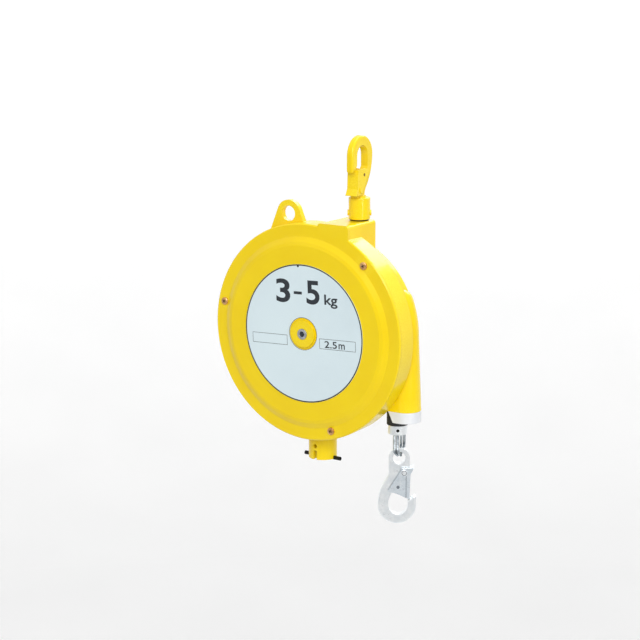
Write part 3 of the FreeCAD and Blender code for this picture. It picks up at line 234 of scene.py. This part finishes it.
class Shader:
    """A Principled material with the few node chains that the finishes here share."""

    def __init__(self, name, roughness, metallic=0.0):
        self.material = bpy.data.materials.new(name)
        self.material.use_nodes = True
        self.nodes = self.material.node_tree.nodes
        self.links = self.material.node_tree.links
        self.main = self.nodes["Principled BSDF"]
        self.main.inputs["Roughness"].default_value = roughness
        self.main.inputs["Metallic"].default_value = metallic
        self.coords = self.nodes.new("ShaderNodeTexCoord")

    def node(self, kind, **settings):
        made = self.nodes.new(kind)
        for key, value in settings.items():
            setattr(made, key, value)
        return made

    def noise(self, scale, detail=3.0, stretch=(1, 1, 1)):
        """Cloudy values over the object's own coordinates."""
        mapping = self.node("ShaderNodeMapping")
        mapping.inputs["Scale"].default_value = stretch
        self.links.new(self.coords.outputs["Object"], mapping.inputs["Vector"])
        cloud = self.node("ShaderNodeTexNoise")
        cloud.inputs["Scale"].default_value = scale
        cloud.inputs["Detail"].default_value = detail
        self.links.new(mapping.outputs["Vector"], cloud.inputs["Vector"])
        return cloud.outputs["Fac"]

    def ramp(self, source, stops):
        ramp = self.node("ShaderNodeValToRGB")
        ramp.color_ramp.elements[0].position = stops[0][0]
        ramp.color_ramp.elements[0].color = stops[0][1]
        ramp.color_ramp.elements[1].position = stops[-1][0]
        ramp.color_ramp.elements[1].color = stops[-1][1]
        for position, colour in stops[1:-1]:
            ramp.color_ramp.elements.new(position).color = colour
        self.links.new(source, ramp.inputs["Fac"])
        return ramp.outputs["Color"]

    def spread(self, source, low, high):
        """The usual spread of noise stretched between low and high."""
        change = self.node("ShaderNodeMapRange")
        change.inputs["From Min"].default_value = NOISE_LOW
        change.inputs["From Max"].default_value = NOISE_HIGH
        change.inputs["To Min"].default_value = low
        change.inputs["To Max"].default_value = high
        self.links.new(source, change.inputs["Value"])
        return change.outputs["Result"]

    def mix(self, factor, first, second):
        blend = self.node("ShaderNodeMix", data_type="RGBA")
        self.links.new(factor, blend.inputs["Factor"])
        for value, socket in ((first, blend.inputs["A"]), (second, blend.inputs["B"])):
            if isinstance(value, tuple):
                socket.default_value = value
            else:
                self.links.new(value, socket)
        return blend.outputs["Result"]

    def edge_wear(self, low, high):
        """1 on sharp outer edges, 0 elsewhere, broken up by noise."""
        geometry = self.node("ShaderNodeNewGeometry")
        pointy = self.node("ShaderNodeMapRange")
        pointy.inputs["From Min"].default_value = low
        pointy.inputs["From Max"].default_value = high
        self.links.new(geometry.outputs["Pointiness"], pointy.inputs["Value"])
        times = self.node("ShaderNodeMath", operation="MULTIPLY")
        self.links.new(pointy.outputs["Result"], times.inputs[0])
        self.links.new(self.spread(self.noise(WEAR_NOISE), 0.0, 1.0), times.inputs[1])
        return times.outputs["Value"]

    def colour(self, source):
        self.links.new(source, self.main.inputs["Base Color"])

    def rough(self, source, low, high):
        self.links.new(self.spread(source, low, high), self.main.inputs["Roughness"])

    def bump(self, source, depth, rounding):
        """Surface relief in metres, on normals rounded over the part's edges."""
        relief = self.node("ShaderNodeBump")
        relief.inputs["Strength"].default_value = 1.0
        relief.inputs["Distance"].default_value = depth
        self.links.new(source, relief.inputs["Height"])
        bevel = self.node("ShaderNodeBevel", samples=4)
        bevel.inputs["Radius"].default_value = rounding
        self.links.new(bevel.outputs["Normal"], relief.inputs["Normal"])
        self.links.new(relief.outputs["Normal"], self.main.inputs["Normal"])


def enamel(name, light, dark):
    """Gloss enamel over a casting: faint orange peel, slight drift in colour, paler edges."""
    cloud, polish, relief = ENAMEL_NOISE
    made = Shader(name, 0.22)
    body = made.ramp(made.noise(cloud), [(MOTTLE_LOW, dark), (MOTTLE_HIGH, light)])
    pale = tuple(min(1.0, value * 1.12 + 0.02) for value in light[:3]) + (1.0,)
    made.colour(made.mix(made.edge_wear(0.52, 0.62), body, pale))
    made.rough(made.noise(polish), 0.17, 0.25)
    made.bump(made.noise(relief, 2.0), 0.00004, 0.0008)
    made.main.inputs["Specular IOR Level"].default_value = ENAMEL_GLOSS
    made.main.inputs["Coat Weight"].default_value = ENAMEL_COAT
    made.main.inputs["Coat Roughness"].default_value = 0.05
    return made.material


def bright_metal(name, light, dark, low, high):
    """Plated or machined metal with a fine grain and uneven polish."""
    cloud, polish, relief = METAL_NOISE
    made = Shader(name, low, metallic=1.0)
    made.colour(made.ramp(made.noise(cloud, 4.0), [(MOTTLE_LOW, dark), (MOTTLE_HIGH, light)]))
    made.rough(made.noise(polish), low, high)
    made.bump(made.noise(relief), 0.00001, 0.0004)
    return made.material


def plastic(name, light, dark, low, high, depth=0.00004):
    """Moulded nylon or rubber: fine matt grain with slight mottling."""
    cloud, polish, relief = PLASTIC_NOISE
    made = Shader(name, low)
    made.colour(made.ramp(made.noise(cloud, 4.0), [(MOTTLE_LOW, dark), (MOTTLE_HIGH, light)]))
    made.rough(made.noise(polish), low, high)
    made.bump(made.noise(relief, 2.0), depth, 0.0005)
    return made.material


def label_sheet(name):
    """Satin sheet with a slight drift in tone and a very faint grain."""
    made = Shader(name, 0.36)
    drift = made.ramp(made.noise(9, 1.0), [(MOTTLE_LOW, srgb(211, 227, 233)),
                                           (MOTTLE_HIGH, srgb(221, 237, 241))])
    grain = made.ramp(made.noise(500, 2.0, (1, 1, 5)), [(NOISE_LOW, srgb(216, 232, 237)),
                                                        (NOISE_HIGH, srgb(223, 238, 243))])
    made.colour(made.mix(made.spread(made.noise(60), 0.2, 0.6), drift, grain))
    made.rough(made.noise(240), 0.3, 0.4)
    return made.material


def dark_print_and_shade(name):
    """Nearly black print, also used as painted shade at the bottom of the shaft's socket."""
    made = Shader(name, 0.4)
    made.colour(made.ramp(made.noise(600), [(NOISE_LOW, srgb(24, 31, 38)),
                                            (NOISE_HIGH, srgb(38, 46, 54))]))
    made.rough(made.noise(500), 0.35, 0.5)
    return made.material


def shadow(name, dark, light):
    """Painted shade: a dull dark colour for marks that stand in for the shade in recesses, grooves and
    folds.
    """
    made = Shader(name, 0.7)
    made.colour(made.ramp(made.noise(700), [(NOISE_LOW, dark), (NOISE_HIGH, light)]))
    made.rough(made.noise(500), 0.6, 0.8)
    return made.material


def finishes():
    """One material for each slot name of the record."""
    return {
        "yellow": enamel("yellow_enamel", srgb(247, 215, 0), srgb(244, 210, 0)),
        "plate": label_sheet("face_plate_sheet"),
        "brown": bright_metal("bronzed_screw", srgb(232, 186, 130), srgb(176, 122, 78), 0.2, 0.34),
        "nylon": plastic("white_nylon", srgb(236, 238, 240), srgb(226, 229, 233), 0.38, 0.5),
        "rubber": plastic("black_rubber", srgb(34, 36, 38), srgb(22, 23, 25), 0.55, 0.7, 0.00008),
        "silver": bright_metal("zinc_plate", srgb(250, 253, 254), srgb(238, 243, 246), 0.26, 0.36),
        "latch": bright_metal("latch_zinc", srgb(236, 243, 248), srgb(222, 232, 239), 0.24, 0.34),
        "steel": bright_metal("bright_steel", srgb(200, 203, 208), srgb(166, 170, 176), 0.2, 0.34),
        "wire": bright_metal("wire_rope", srgb(196, 203, 208), srgb(104, 114, 122), 0.24, 0.36),
        "dark": bright_metal("black_oxide", srgb(54, 54, 56), srgb(30, 30, 32), 0.36, 0.5),
        "bronze": bright_metal("bearing_bronze", srgb(206, 160, 96), srgb(166, 122, 70), 0.26, 0.4),
        "alu": bright_metal("cast_aluminium", srgb(198, 201, 204), srgb(168, 171, 175), 0.36, 0.52),
        "spring": bright_metal("blued_spring", srgb(110, 116, 126), srgb(74, 80, 90), 0.22, 0.34),
    }


def paint_nodes(finish):
    """Give every CAD node the finish of its slot in the record. The upper rivet is painted over
    with its hook, and the lower latch is plated sheet, a tone below the forged hook."""
    slots = {part["node"]: part["material_slot"] for part in frame["record"]["subparts"]}
    slots["upper_rivet"] = "yellow"
    slots["lower_latch"] = "latch"
    for name, obj in frame["nodes"].items():
        obj.data.materials.clear()
        obj.data.materials.append(finish[slots[name]])


# ---------------------------------------------------------------- mesh helpers

def mesh_object(name, verts, faces, material, body):
    data = bpy.data.meshes.new(name)
    data.from_pydata([Vector(v) for v in verts], [], faces)
    data.validate()
    made = bpy.data.objects.new(name, data)
    bpy.context.scene.collection.objects.link(made)
    data.materials.append(material)
    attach(made, body)
    return made


def disc(name, matrix, radius, thick, material, body, steps=32, hole=0.0):
    """Flat disc, or ring where it has a hole, facing along the matrix's z, in its units."""
    verts, faces = [], []
    for i in range(steps):
        angle = 2 * math.pi * i / steps
        for distance, height in ((hole, 0), (radius, 0), (radius, -thick), (hole, -thick)):
            spot = Vector((distance * math.cos(angle), distance * math.sin(angle), height))
            verts.append(matrix @ spot)
    for i in range(steps):
        a, b = 4 * i, 4 * ((i + 1) % steps)
        for k in range(4):
            faces.append((a + k, a + (k + 1) % 4, b + (k + 1) % 4, b + k))
    made = mesh_object(name, verts, faces, material, body)
    if not hole:
        clean = bmesh.new()
        clean.from_mesh(made.data)
        bmesh.ops.remove_doubles(clean, verts=clean.verts, dist=1e-7)
        clean.to_mesh(made.data)
        clean.free()
    return made


def smooth(obj):
    """Shade a round piece smooth, with its sharp edges kept."""
    for polygon in obj.data.polygons:
        polygon.use_smooth = True
    obj.data.set_sharp_from_angle(angle=math.radians(SMOOTH_ANGLE))
    return obj


# ---------------------------------------------------------------- face plate

def plate_frame():
    """Centre of the plate's front face, from the node's own box."""
    low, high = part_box("face_plate")
    return Vector(((low.x + high.x) / 2, low.y, (low.z + high.z) / 2)), (high.x - low.x) / 2


def plate_hole():
    """Radius of the hole in the middle of the plate, from the node's own mesh."""
    centre, _ = plate_frame()
    mesh = frame["nodes"]["face_plate"].data
    return min(math.hypot(v.co.x - centre.x, v.co.z - centre.z) for v in mesh.vertices)


def plate_matrix():
    """From plate millimetres (x right, y up, z towards the viewer) to the row frame."""
    centre, _ = plate_frame()
    upright = Matrix.Rotation(math.radians(90), 4, "X")
    turn = Matrix.Rotation(math.radians(PLATE_TURN), 4, "Z")
    place = Matrix.Translation(centre - Vector((0, INK_PROUD * MM, 0)))
    return place @ upright @ turn @ Matrix.Scale(MM, 4)


def ring(name, inner, outer, material):
    """Flat printed ring round the plate's centre."""
    return disc(name, plate_matrix(), outer, INK_THICK, material, "case", RING_STEPS, inner)


def frame_box(name, centre_x, centre_z, width, height, material):
    """Thin printed rectangle."""
    verts, faces = [], []
    for grow in (0, BOX_LINE):
        for sx, sz in ((-1, -1), (1, -1), (1, 1), (-1, 1)):
            verts.append((centre_x + sx * (width / 2 - grow), centre_z + sz * (height / 2 - grow), 0))
    for k in range(4):
        faces.append((k, (k + 1) % 4, 4 + (k + 1) % 4, 4 + k))
    matrix = plate_matrix()
    return mesh_object(name, [matrix @ Vector(v) for v in verts], faces, material, "case")


def lettering(name, text, span, low, high, weight, material):
    """Plain figures fitted on the plate between two sides, a foot and a top."""
    left, right = span
    curve = bpy.data.curves.new(name, "FONT")
    curve.body = text
    curve.offset = weight
    curve.resolution_u = 12
    holder = bpy.data.objects.new(name + "_text", curve)
    bpy.context.scene.collection.objects.link(holder)
    bpy.context.view_layer.update()
    solved = holder.evaluated_get(bpy.context.evaluated_depsgraph_get())
    shape = bpy.data.meshes.new_from_object(solved)
    bpy.data.objects.remove(holder)
    xs = [v.co.x for v in shape.vertices]
    ys = [v.co.y for v in shape.vertices]
    wide = (right - left) / (max(xs) - min(xs))
    tall = (high - low) / (max(ys) - min(ys))
    matrix = plate_matrix()
    verts = [matrix @ Vector((left + (x - min(xs)) * wide, low + (y - min(ys)) * tall, 0))
             for x, y in zip(xs, ys)]
    faces = [tuple(p.vertices) for p in shape.polygons]
    return mesh_object(name, verts, faces, material, "case")


def print_plate(black):
    """Edge lines, top mark, load range, its unit, and a bare box and a box with the cable's travel."""
    _, outer = plate_frame()
    outer /= MM
    ring("plate_edge_line", outer - RING_WIDTH, outer - LINE_GAP, black)
    hole = plate_hole() / MM
    ring("plate_hole_line", hole + LINE_GAP, hole + HOLE_LINE, black)
    notch = plate_matrix() @ Matrix.Translation((NOTCH_X, outer - NOTCH_INSET, 0))
    disc("plate_notch", notch, NOTCH_R, INK_THICK, black, "case")
    top = DIGIT_BASE + DIGIT_HEIGHT
    lettering("plate_figure_low", "3", DIGIT_LOW_SPAN, DIGIT_BASE, top, DIGIT_WEIGHT, black)
    lettering("plate_dash", "-", DASH_SPAN, DIGIT_BASE + DASH_LOW, DIGIT_BASE + DASH_HIGH, 0.0, black)
    lettering("plate_figure_high", "5", DIGIT_HIGH_SPAN, DIGIT_BASE, top, DIGIT_WEIGHT, black)
    unit_low = DIGIT_BASE - UNIT_DROP
    lettering("plate_unit", "kg", UNIT_SPAN, unit_low, unit_low + UNIT_HEIGHT, UNIT_WEIGHT, black)
    for name, side in (("plate_box_left", -1), ("plate_box_right", 1)):
        frame_box(name, side * BOX_CENTRE_X, BOX_CENTRE_Z - side * BOX_STEP, BOX_WIDTH, BOX_HEIGHT,
                  black)
    lettering("plate_travel", "2.5", TRAVEL_SPAN, TRAVEL_BASE, TRAVEL_TOP, TRAVEL_WEIGHT, black)
    lettering("plate_travel_unit", "m", TRAVEL_UNIT_SPAN, TRAVEL_BASE, TRAVEL_UNIT_TOP, TRAVEL_WEIGHT,
              black)


# ---------------------------------------------------------------- small fittings

def bar_mesh(matrix, half_long, half_wide, depth, offset):
    """Corners and faces of a flat bar, long way along local x, front face at local z = 0."""
    corners = []
    for z in (0, -depth):
        for x, y in ((-1, -1), (1, -1), (1, 1), (-1, 1)):
            corners.append(matrix @ Vector((x * half_long, y * half_wide, z)))
    faces = [(0, 1, 2, 3), (7, 6, 5, 4), (0, 4, 5, 1), (1, 5, 6, 2), (2, 6, 7, 3), (3, 7, 4, 0)]
    return corners, [tuple(offset + k for k in face) for face in faces]


def paint_screw_cross_shade(material):
    """Painted shade in each cover screw's cross recess: dark bars, found from the screws' own mesh."""
    screws = frame["nodes"]["cover_screws"]
    points = [screws.matrix_world @ v.co for v in screws.data.vertices]
    front = min(point.y for point in points)
    tips = [point for point in points if point.y < front + SCREW_FRONT * MM]
    centres = []
    for tip in tips:
        if all((tip - other).length > SCREW_CROSS * MM * 2 for other in centres):
            centres.append(tip)
    for number, centre in enumerate(centres):
        near = [tip for tip in tips if (tip - centre).length < SCREW_CROSS * MM * 2]
        middle = sum(near, Vector()) / len(near)
        middle.y = front - SCREW_PROUD * MM
        base = Matrix.Translation(middle) @ Matrix.Rotation(math.radians(90), 4, "X")
        verts, faces = [], []
        for turn in (SCREW_TURN, SCREW_TURN + 90):
            place = base @ Matrix.Rotation(math.radians(turn + number * SCREW_TURN), 4, "Z")
            more, sides = bar_mesh(place, SCREW_CROSS * MM, SCREW_SLOT * MM, SCREW_DEEP * MM,
                                   len(verts))
            verts += more
            faces += sides
        mesh_object("screw_cross_%d" % (number + 1), verts, faces, material, "case")


def socket_shadow(material):
    """Painted shade: a dark disc inside the hexagon socket in the end of the shaft, for its shadowed
    bottom.
    """
    centre, _ = plate_frame()
    mesh = frame["nodes"]["main_shaft"].data
    front = min(v.co.y for v in mesh.vertices)
    rim = [v.co for v in mesh.vertices if v.co.y < front + SOCKET_SEEK * MM]
    across = min(math.hypot(v.x - centre.x, v.z - centre.z) for v in rim)
    place = Matrix.Translation((centre.x, front + SOCKET_DEPTH * MM, centre.z))
    place = place @ Matrix.Rotation(math.radians(90), 4, "X") @ Matrix.Scale(MM, 4)
    disc("socket_painted_shade_disc", place, across / MM * SOCKET_FILL, SOCKET_THICK, material, "shaft")


def hook_frame(joint_name, up):
    """Frame at a latch's pivot in millimetres: x out of the hook's mouth, y to its eye and z to the
    side that is seen."""
    joint = find_joint(joint_name)
    across = Vector((0, 0, 1)).cross(Vector(joint["axis"])).normalized()
    along = Vector((0, 0, up))
    facing = across.cross(along)
    turn = Matrix((across, along, facing)).transposed().to_4x4()
    return Matrix.Translation(Vector(joint["pos_m"])) @ turn @ Matrix.Scale(MM, 4)


def rivet_head(node, matrix):
    """Radius of a rivet's head round its pivot, and how far it stands out, from its own mesh."""
    back = matrix.inverted()
    points = [back @ v.co for v in frame["nodes"][node].data.vertices]
    return max(math.hypot(p.x, p.y) for p in points), max(p.z for p in points)


def latch_details(dark, enamel_shade):
    """Painted shade: dark marks for each latch cheek's dimple and, on the lower one, its rivet groove
    and fold.
    """
    for name, up, material in (("lower", 1, dark), ("upper", -1, enamel_shade)):
        body = name + "_latch"
        matrix = hook_frame(body + "_press", up)
        dimple = matrix @ Matrix.Translation((DIMPLE_X, DIMPLE_Y, CHEEK_FACE + INK_PROUD))
        disc(body + "_dimple_shade", dimple, DIMPLE_R, DIMPLE_THICK, material, body)
    matrix = hook_frame("lower_latch_press", 1)
    head, face = rivet_head("lower_rivet", matrix)
    raised = matrix @ Matrix.Translation((0, 0, face + INK_PROUD))
    disc("lower_rivet_groove_shade", raised, head - RIVET_RIM, MARK_THICK, dark, "load_hook", RIVET_STEPS,
         head - RIVET_RIM - RIVET_LINE)
    middle = (FOLD_TOP + FOLD_FOOT) / 2
    fold = matrix @ Matrix.Translation((FOLD_X, middle, CHEEK_FACE + INK_PROUD))
    fold = fold @ Matrix.Rotation(math.radians(90), 4, "Z")
    verts, faces = bar_mesh(fold, (FOLD_TOP - FOLD_FOOT) / 2, FOLD_WIDTH / 2, MARK_THICK, 0)
    mesh_object("lower_latch_fold_shade", verts, faces, dark, "lower_latch")


def wire_cable(material):
    """Stranded cable from inside the case to the stop collar."""
    low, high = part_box("cable_run")
    axis_x, axis_y = (low.x + high.x) / 2, (low.y + high.y) / 2
    radius = (high.x - low.x) / 2
    rings = int((high.z - low.z) / (CABLE_STEP * MM))
    sides = STRANDS * STRAND_POINTS
    verts, faces = [], []
    for i in range(rings + 1):
        z = low.z + (high.z - low.z) * i / rings
        twist = 2 * math.pi * (z - low.z) / (CABLE_LAY * MM)
        for k in range(sides):
            angle = 2 * math.pi * k / sides
            reach = radius * (1 - STRAND_DIP * (k % STRAND_POINTS == 0))
            verts.append((axis_x + reach * math.cos(angle + twist),
                          axis_y + reach * math.sin(angle + twist), z))
    for i in range(rings):
        for k in range(sides):
            a, b = i * sides + k, i * sides + (k + 1) % sides
            faces.append((a, b, b + sides, a + sides))
    faces.append(tuple(range(sides))[::-1])
    faces.append(tuple(rings * sides + k for k in range(sides)))
    data = bpy.data.meshes.new("wire_cable")
    data.from_pydata([Vector(v) for v in verts], [], faces)
    cable = bpy.data.objects.new("wire_cable", data)
    bpy.context.scene.collection.objects.link(cable)
    data.materials.append(material)
    smooth(cable)
    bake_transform(cable)
    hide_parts("cable_run")


def lock_coil(material):
    """Spring under the lock plunger's head. It stays on the case."""
    low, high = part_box("lock_spring")
    middle = (low + high) / 2
    wire = SPRING_WIRE * MM
    radius = (high.x - low.x) / 2 - wire
    travel = high.z - low.z - 2 * wire
    steps, sides = SPRING_TURNS * SPRING_STEPS, SPRING_SIDES
    verts, faces = [], []
    for i in range(steps + 1):
        angle = 2 * math.pi * i / SPRING_STEPS
        for k in range(sides):
            round_wire = 2 * math.pi * k / sides
            reach = radius + wire * math.cos(round_wire)
            verts.append((middle.x + reach * math.cos(angle), middle.y + reach * math.sin(angle),
                          low.z + wire + travel * i / steps + wire * math.sin(round_wire)))
    for i in range(steps):
        for k in range(sides):
            a, b = i * sides + k, i * sides + (k + 1) % sides
            faces.append((a, a + sides, b + sides, b))
    faces.append(tuple(range(sides)))
    faces.append(tuple(steps * sides + k for k in range(sides))[::-1])
    spring = smooth(mesh_object("lock_coil", verts, faces, material, "case"))
    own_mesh(spring)
    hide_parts("lock_spring")


# ---------------------------------------------------------------- light, floor, camera

def add_camera():
    data = bpy.data.cameras.new("camera")
    data.lens = LENS
    data.sensor_width = SENSOR
    data.clip_end = CLIP_END
    camera = bpy.data.objects.new("camera", data)
    bpy.context.scene.collection.objects.link(camera)
    turn, rise = math.radians(VIEW_AZIMUTH), math.radians(VIEW_ELEVATION)
    back = Vector((math.sin(turn) * math.cos(rise), -math.cos(turn) * math.cos(rise),
                   math.sin(rise)))
    camera.location = VIEW_TARGET + back * VIEW_DISTANCE
    camera.rotation_euler = (-back).to_track_quat("-Z", "Y").to_euler()
    bpy.context.scene.camera = camera


def add_sun(name, strength, spread, direction):
    data = bpy.data.lights.new(name, "SUN")
    data.energy = strength
    data.angle = math.radians(spread)
    lamp = bpy.data.objects.new(name, data)
    bpy.context.scene.collection.objects.link(lamp)
    lamp.rotation_euler = Vector(direction).to_track_quat("-Z", "Y").to_euler()


def add_softbox(name, power, size, place, aim):
    data = bpy.data.lights.new(name, "AREA")
    data.shape = "RECTANGLE"
    data.size, data.size_y = size
    data.energy = power
    lamp = bpy.data.objects.new(name, data)
    bpy.context.scene.collection.objects.link(lamp)
    lamp.location = place
    lamp.visible_camera = False
    lamp.rotation_euler = (Vector(aim) - Vector(place)).to_track_quat("-Z", "Y").to_euler()


def when_seen(nodes, links, unseen, seen):
    """The value seen for camera, glossy and transmission rays, and unseen for light on the object."""
    path = nodes.new("ShaderNodeLightPath")
    looks = path.outputs["Is Camera Ray"]
    for ray in ("Is Glossy Ray", "Is Transmission Ray"):
        either = nodes.new("ShaderNodeMath")
        either.operation = "MAXIMUM"
        links.new(looks, either.inputs[0])
        links.new(path.outputs[ray], either.inputs[1])
        looks = either.outputs["Value"]
    level = nodes.new("ShaderNodeMapRange")
    level.inputs["To Min"].default_value = unseen
    level.inputs["To Max"].default_value = seen
    links.new(looks, level.inputs["Value"])
    return level.outputs["Result"]


def add_world():
    world = bpy.data.worlds.new("studio")
    bpy.context.scene.world = world
    world.use_nodes = True
    nodes, links = world.node_tree.nodes, world.node_tree.links
    background = nodes["Background"]
    background.inputs["Color"].default_value = (1, 1, 1, 1)
    links.new(when_seen(nodes, links, WORLD_LEVEL, 1.0), background.inputs["Strength"])


def add_floor():
    """Pale studio floor, just below the hook when the whole cable is drawn out, that rises to a
    low wall."""
    low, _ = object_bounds()
    level = low[2] - find_joint("cable_travel")["range_m"][1] - FLOOR_GAP
    profile = [(FLOOR_FLAT, level)]
    for i in range(1, FLOOR_RINGS + 1):
        bend = math.pi / 2 * i / FLOOR_RINGS
        profile.append((FLOOR_FLAT + (FLOOR_WALL - FLOOR_FLAT) * math.sin(bend),
                        level + (FLOOR_TOP - level) * (1 - math.cos(bend))))
    verts, faces = [], []
    for away, height in profile:
        for k in range(FLOOR_SIDES):
            angle = 2 * math.pi * k / FLOOR_SIDES
            verts.append((away * math.cos(angle), away * math.sin(angle), height))
    for i in range(len(profile) - 1):
        for k in range(FLOOR_SIDES):
            a, b = i * FLOOR_SIDES + k, i * FLOOR_SIDES + (k + 1) % FLOOR_SIDES
            faces.append((a, b, b + FLOOR_SIDES, a + FLOOR_SIDES))
    faces.append(tuple(range(FLOOR_SIDES)))
    data = bpy.data.meshes.new("floor")
    data.from_pydata(verts, [], faces)
    floor = bpy.data.objects.new("floor", data)
    bpy.context.scene.collection.objects.link(floor)
    smooth(floor)
    made = Shader("pale_floor", 0.6)
    made.colour(made.ramp(made.noise(FLOOR_NOISE), [(NOISE_LOW, srgb(240, 240, 240)),
                                                    (NOISE_HIGH, srgb(243, 243, 243))]))
    made.main.inputs["Specular IOR Level"].default_value = 0.2
    made.main.inputs["Emission Color"].default_value = (1, 1, 1, 1)
    glow = when_seen(made.nodes, made.links, 0.0, FLOOR_GLOW)
    made.links.new(glow, made.main.inputs["Emission Strength"])
    data.materials.append(made.material)


def light_scene():
    add_world()
    add_floor()
    add_sun("key", KEY_POWER, KEY_SPREAD, KEY_DIRECTION)
    add_softbox("back_card", CARD_POWER, (CARD_WIDTH, CARD_HEIGHT), CARD_PLACE, OBJECT_MIDDLE)
    add_softbox("overhead", OVERHEAD_POWER, OVERHEAD_SIZE, OVERHEAD_PLACE, OVERHEAD_AIM)
    turn = math.radians(STRIP_AZIMUTH)
    place = (STRIP_AWAY * math.sin(turn), -STRIP_AWAY * math.cos(turn), STRIP_LEVEL)
    add_softbox("strip", STRIP_POWER, (STRIP_WIDTH, STRIP_HEIGHT), place, OBJECT_MIDDLE)
    bpy.context.scene.view_settings.view_transform = "Standard"


# ---------------------------------------------------------------- build

def build():
    add_camera()
    light_scene()
    finish = finishes()
    paint_nodes(finish)
    print_plate(dark_print_and_shade("plate_ink"))
    # Painted shade: a dull dark brown standing in for the shade inside the screws' cross recesses
    recess = shadow("recess", srgb(60, 38, 24), srgb(82, 54, 34))
    paint_screw_cross_shade(recess)
    # Painted shade: a black disc inside the shaft's socket stands in for the shade at its bottom
    socket_shadow(dark_print_and_shade("socket_painted_shade"))
    # Painted shade for the latch marks: grey on the plated latch, brown-yellow on the enamelled one
    latch_details(shadow("zinc_shadow", srgb(84, 92, 100), srgb(112, 120, 128)),
                  shadow("enamel_shadow", srgb(120, 88, 20), srgb(150, 112, 30)))
    wire_cable(finish["wire"])
    lock_coil(finish["spring"])


build()
